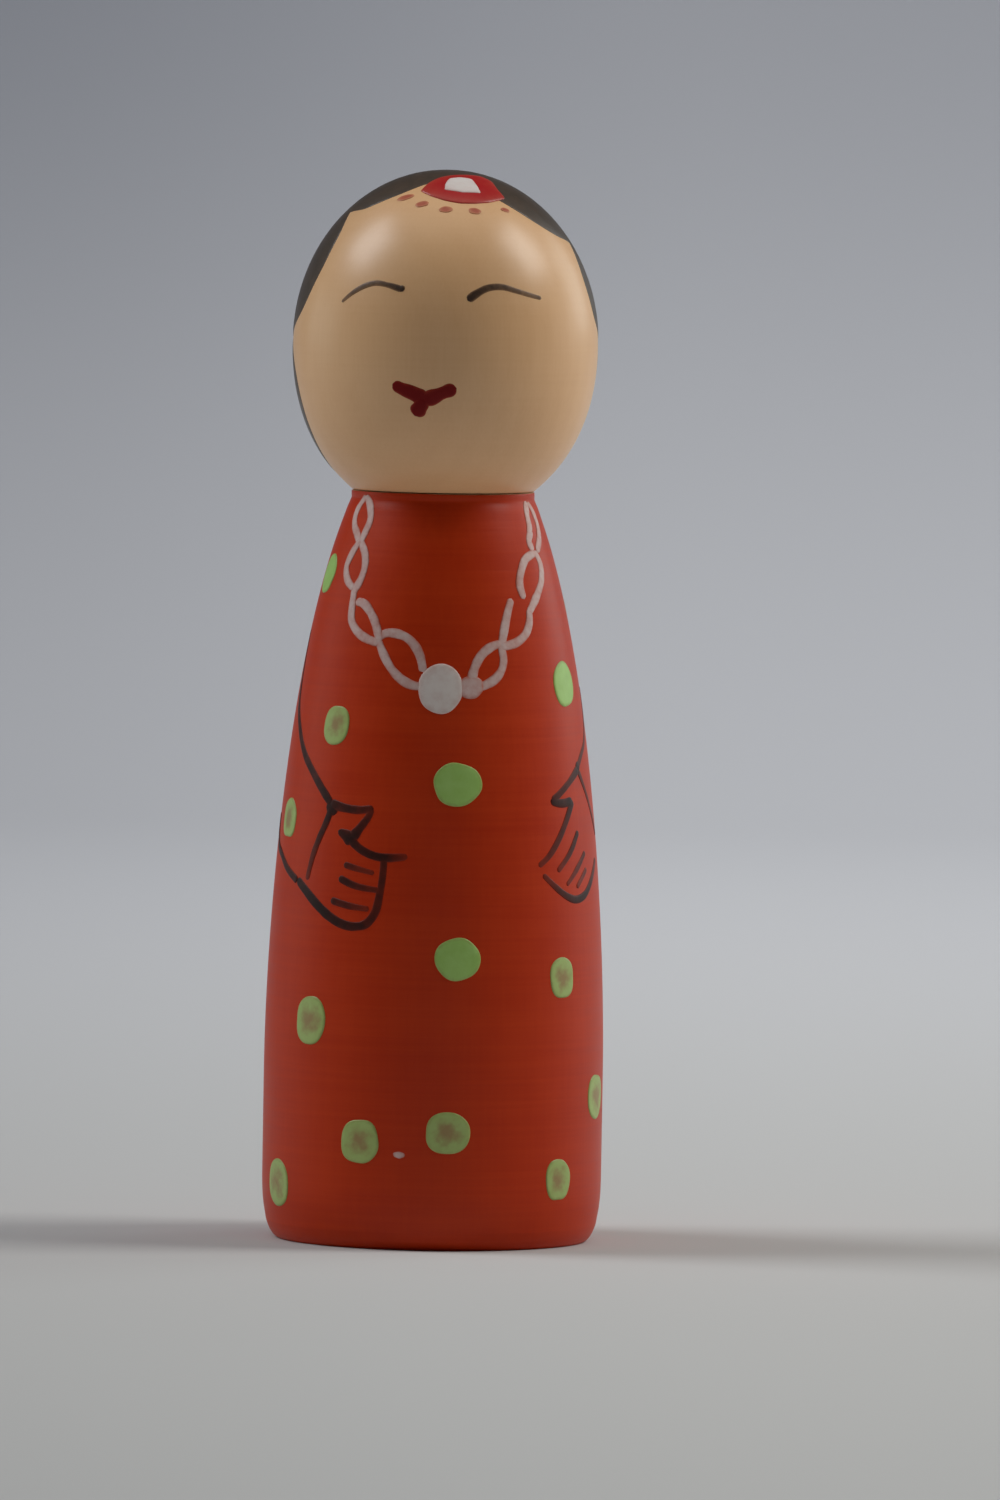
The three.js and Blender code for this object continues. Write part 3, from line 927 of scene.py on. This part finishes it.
def swept_sheet():
    """A sheet that lies flat under the doll and curves up behind it, and farther off in front of it and on
    both sides: its height is the sum of the curve along the depth and the curve across."""
    behind, up_behind = rising(*BEHIND)
    aside, up_aside = rising(*ASIDE_AND_BEFORE)
    y, z_of_y = np.r_[-aside[:0:-1], behind], np.r_[up_aside[:0:-1], up_behind]
    x, z_of_x = np.r_[-aside[:0:-1], aside], np.r_[up_aside[:0:-1], up_aside]
    grid = np.stack([x[None] + 0 * y[:, None], y[:, None] + 0 * x, z_of_y[:, None] + z_of_x], -1)
    index = np.arange(grid[..., 0].size).reshape(grid.shape[:2])
    faces = np.stack([index[:-1, :-1], index[:-1, 1:], index[1:, 1:], index[1:, :-1]], -1).reshape(-1, 4)
    mesh = bpy.data.meshes.new("swept_sheet")
    mesh.from_pydata(grid.reshape(-1, 3).tolist(), [], faces.tolist())
    mesh.polygons.foreach_set("use_smooth", np.ones(len(faces), bool))
    sheet = bpy.data.objects.new("swept_sheet", mesh)
    bpy.context.scene.collection.objects.link(sheet)
    f = Finish("stage_sheet", roughness=0.9)
    # Painted shade: the one sheet's colour darkens towards grey-blue up the backdrop, more so towards the
    # left, and a little towards the left on the floor, standing in for the light falling off there.
    shade_up_backdrop = f.height.ramp(-10, 120)
    shade_to_left = f.across.ramp(-75, 40, 1, 0)
    share = shade_up_backdrop * (shade_to_left * 0.26 + 0.53) + (1 - shade_up_backdrop) * shade_to_left * 0.24
    mesh.materials.append(f.done(f.mix(share, colour(209, 209, 209), colour(119, 122, 130))))


def lamp_at(name, place, target, width, height, watts, tint):
    """A soft rectangular light at a place, aimed at a target, not itself seen by the camera."""
    light = bpy.data.lights.new(name, "AREA")
    light.shape, light.size, light.size_y = "RECTANGLE", width, height
    light.energy, light.color = watts, tint
    lamp = bpy.data.objects.new(name, light)
    lamp.visible_camera = False
    bpy.context.scene.collection.objects.link(lamp)
    place, target = Vector(place), Vector(target)
    turn = (place - target).to_track_quat("Z", "Y").to_matrix().to_4x4()
    lamp.matrix_world = Matrix.Translation(place) @ turn


def soft_box(name, azimuth, elevation, distance, width, height, watts, tint):
    """A light aimed at the doll's middle. Azimuth 0 is in front, 90 towards the doll's left hand."""
    a, e = math.radians(azimuth), math.radians(elevation)
    target = Vector((0, 0, doll_height / 2))
    toward = Vector((math.sin(a) * math.cos(e), -math.cos(a) * math.cos(e), math.sin(e)))
    lamp_at(name, target + distance * toward, target, width, height, watts, tint)


def world_light(tint, strength):
    """The faint even light of the room."""
    world = bpy.data.worlds.new("studio")
    world.use_nodes = True
    background = world.node_tree.nodes["Background"]
    background.inputs["Color"].default_value = (*tint, 1)
    background.inputs["Strength"].default_value = strength
    bpy.context.scene.world = world


CAMERA_DISTANCE, CAMERA_RISE, CAMERA_ROLL = 1.4, math.radians(2.9), math.radians(0.972)
LENS = 397.2                # mm on a picture 36 mm high
AIM_HEIGHT = 0.045 / 0.090487       # of the doll's height
ASIDE, BELOW = 0.00512, 0.00358     # m from the point aimed at to the middle of the picture


def camera():
    """Looks at the doll from a little above, slightly rolled, and aims a little to one side of it."""
    lens = bpy.data.cameras.new("camera")
    lens.sensor_width, lens.lens, lens.clip_start, lens.clip_end = 36, LENS, 0.05, 20
    seen = bpy.data.objects.new("camera", lens)
    bpy.context.scene.collection.objects.link(seen)
    toward = Vector((0, -math.cos(CAMERA_RISE), math.sin(CAMERA_RISE)))
    middle = Vector((0, 0, AIM_HEIGHT * doll_height))
    place = middle + CAMERA_DISTANCE * toward
    level_right, level_up = Vector((1, 0, 0)), Vector((0, math.sin(CAMERA_RISE), math.cos(CAMERA_RISE)))
    right = level_right * math.cos(CAMERA_ROLL) + level_up * math.sin(CAMERA_ROLL)
    up = level_up * math.cos(CAMERA_ROLL) - level_right * math.sin(CAMERA_ROLL)
    aim = middle + ASIDE * right - BELOW * up
    back = (place - aim).normalized()
    right = up.cross(back).normalized()
    up = back.cross(right)
    seen.matrix_world = Matrix.Translation(place) @ Matrix((right, up, back)).transposed().to_4x4()
    bpy.context.scene.camera = seen


LIGHTS = {
    # name: azimuth, elevation, distance, width, height, watts, tint
    "left_box": (-96, 46, 1.0, 0.42, 0.42, 3.9, (0.96, 0.98, 1)),
    "right_box": (93, 45, 1.0, 0.36, 0.46, 4.1, (1, 0.99, 0.94)),
    "right_wall": (128, 18, 1.0, 0.4, 0.5, 1.25, (0.9, 1, 1)),
    "left_low": (-108, 8, 1.0, 0.6, 0.3, 0.48, (0.85, 1, 0.98)),
    "right_low": (108, 8, 1.0, 0.6, 0.3, 0.4, (1, 0.96, 0.93)),
    "top": (0, 88, 1.0, 0.7, 0.7, 1.25, (1, 0.97, 0.9)),
}
WASHES = {
    # Lights on the sheet alone. name: place in m, target in m, width, height, watts, tint
    "backdrop_wash": ((0.12, 0.45, 0.6), (0.14, 1.0, 0.12), 0.5, 0.5, 1.5, (0.8, 0.83, 1)),
    "left_wash": ((-1.2, 0, 0.7), (-2.8, 0, 0.0), 1.2, 0.8, 8, (1, 0.99, 0.98)),
    "right_wash": ((1.2, 0, 0.7), (2.8, 0, 0.0), 1.2, 0.8, 8, (1, 0.99, 0.98)),
    "front_wash": ((0, -1.6, 0.7), (0, -2.8, 0.0), 1.2, 0.8, 6, (1, 0.99, 0.98)),
}
for name, numbers in LIGHTS.items():
    soft_box(name, *numbers)
for name, numbers in WASHES.items():
    lamp_at(name, *numbers)
swept_sheet()
world_light((0.92, 0.96, 1.0), 0.02)
camera()
bpy.context.scene.view_settings.view_transform = "Standard"
